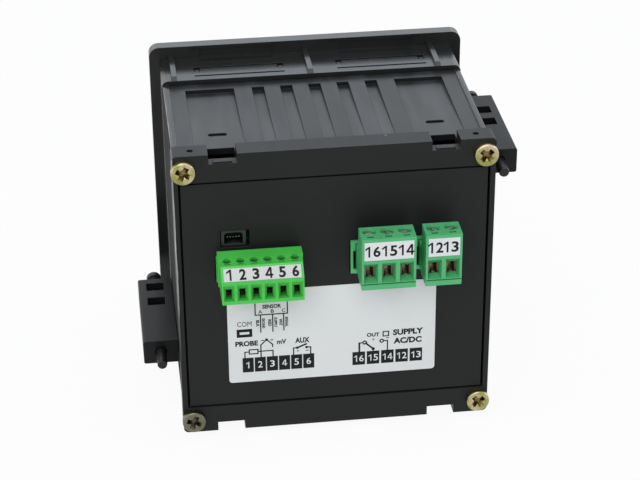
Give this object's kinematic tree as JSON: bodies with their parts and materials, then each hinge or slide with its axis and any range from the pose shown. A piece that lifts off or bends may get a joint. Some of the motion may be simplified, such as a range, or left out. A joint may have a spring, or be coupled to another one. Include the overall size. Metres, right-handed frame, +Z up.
{
  "type": "temperature controller",
  "caption": "Square panel-mounted temperature controller with a display and keys at the front, side clamp brackets, and screw-terminal plugs at the rear that draw off their headers.",
  "frame": {"origin": "centre of the bezel's rear face, the plane that lies on the front of the panel", "axes": "+Z up, -Y out of the display, +Y out of the rear terminals, +X to the left of a viewer behind the panel"},
  "size_m": [0.1112, 0.0928, 0.096],
  "materials": {
    "case_black": "moulded, semi-gloss",
    "panel_black": "moulded, fine grain",
    "fascia_black": "moulded, fine grain",
    "window_tint": "polished, tinted",
    "digit_grey": "moulded",
    "board_green": "lacquered",
    "bright_steel": "plated",
    "switch_black": "moulded",
    "zinc_steel": "yellow zinc plated",
    "label_white": "printed film",
    "clip_black": "moulded, semi-gloss",
    "clamp_steel": "blackened",
    "socket_black": "moulded",
    "contact_brass": "plated",
    "relay_blue": "moulded",
    "core_steel": "varnished laminations",
    "winding_yellow": "tape",
    "can_aluminium": "sleeved can",
    "key_grey": "moulded",
    "fine_green": "moulded",
    "broad_green": "moulded",
    "cage_metal": "plated",
    "terminal_steel": "zinc plated",
    "strip_white": "printed film"
  },
  "bodies": {
    "housing": {"front_bezel": "case_black", "case_sleeve": "case_black", "rear_cover": "case_black", "rear_panel": "panel_black", "front_panel": "fascia_black", "display_window": "window_tint", "display_module": "digit_grey", "display_board": "board_green", "display_screws": "bright_steel", "key_switches": "switch_black", "cover_screws": "zinc_steel", "wiring_label": "label_white", "clip_bracket_left": "clip_black", "clip_bracket_right": "clip_black", "main_board": "board_green", "logic_board": "board_green", "board_spacers": "bright_steel", "main_connector": "switch_black", "logic_connector": "switch_black", "service_socket": "socket_black", "service_contacts": "contact_brass", "microcontroller": "switch_black", "output_relay": "relay_blue", "transformer_core": "core_steel", "transformer_winding": "winding_yellow", "filter_capacitors": "can_aluminium", "line_fuse": "switch_black", "header_6way": "fine_green", "header_pins_6way": "bright_steel", "header_3way": "broad_green", "header_pins_3way": "bright_steel", "header_2way": "broad_green", "header_pins_2way": "bright_steel"},
    "clamp_left": {"clamp_screw_left": "clamp_steel"},
    "clamp_right": {"clamp_screw_right": "clamp_steel"},
    "plug_6way": {"plug_6way_housing": "fine_green", "plug_6way_cages": "cage_metal", "plug_6way_screws": "terminal_steel", "plug_6way_contacts": "contact_brass", "plug_6way_strip": "strip_white"},
    "plug_3way": {"plug_3way_housing": "broad_green", "plug_3way_cages": "cage_metal", "plug_3way_screws": "terminal_steel", "plug_3way_contacts": "contact_brass", "plug_3way_strip": "strip_white"},
    "plug_2way": {"plug_2way_housing": "broad_green", "plug_2way_cages": "cage_metal", "plug_2way_screws": "terminal_steel", "plug_2way_contacts": "contact_brass", "plug_2way_strip": "strip_white"},
    "key_1": {"key_1": "key_grey", "key_plunger_1": "switch_black"},
    "key_2": {"key_2": "key_grey", "key_plunger_2": "switch_black"},
    "key_3": {"key_3": "key_grey", "key_plunger_3": "switch_black"},
    "key_4": {"key_4": "key_grey", "key_plunger_4": "switch_black"}
  },
  "joints": [
    {"name": "clamp_left_slide", "type": "slide", "parent": "housing", "child": "clamp_left", "axis": [0, -1, 0], "range_m": [-0.005, 0.0055]},
    {"name": "clamp_right_slide", "type": "slide", "parent": "housing", "child": "clamp_right", "axis": [0, -1, 0], "range_m": [-0.005, 0.0055]},
    {"name": "plug_6way_draw", "type": "slide", "parent": "housing", "child": "plug_6way", "axis": [0, 1, 0], "range_m": [0, 0.009]},
    {"name": "plug_3way_draw", "type": "slide", "parent": "housing", "child": "plug_3way", "axis": [0, 1, 0], "range_m": [0, 0.01]},
    {"name": "plug_2way_draw", "type": "slide", "parent": "housing", "child": "plug_2way", "axis": [0, 1, 0], "range_m": [0, 0.01]},
    {"name": "key_1_press", "type": "slide", "parent": "housing", "child": "key_1", "axis": [0, 1, 0], "range_m": [0, 0.0004], "stiffness_N_per_m": 2000, "springref_m": -0.0004},
    {"name": "key_2_press", "type": "slide", "parent": "housing", "child": "key_2", "axis": [0, 1, 0], "range_m": [0, 0.0004], "stiffness_N_per_m": 2000, "springref_m": -0.0004},
    {"name": "key_3_press", "type": "slide", "parent": "housing", "child": "key_3", "axis": [0, 1, 0], "range_m": [0, 0.0004], "stiffness_N_per_m": 2000, "springref_m": -0.0004},
    {"name": "key_4_press", "type": "slide", "parent": "housing", "child": "key_4", "axis": [0, 1, 0], "range_m": [0, 0.0004], "stiffness_N_per_m": 2000, "springref_m": -0.0004}
  ]
}
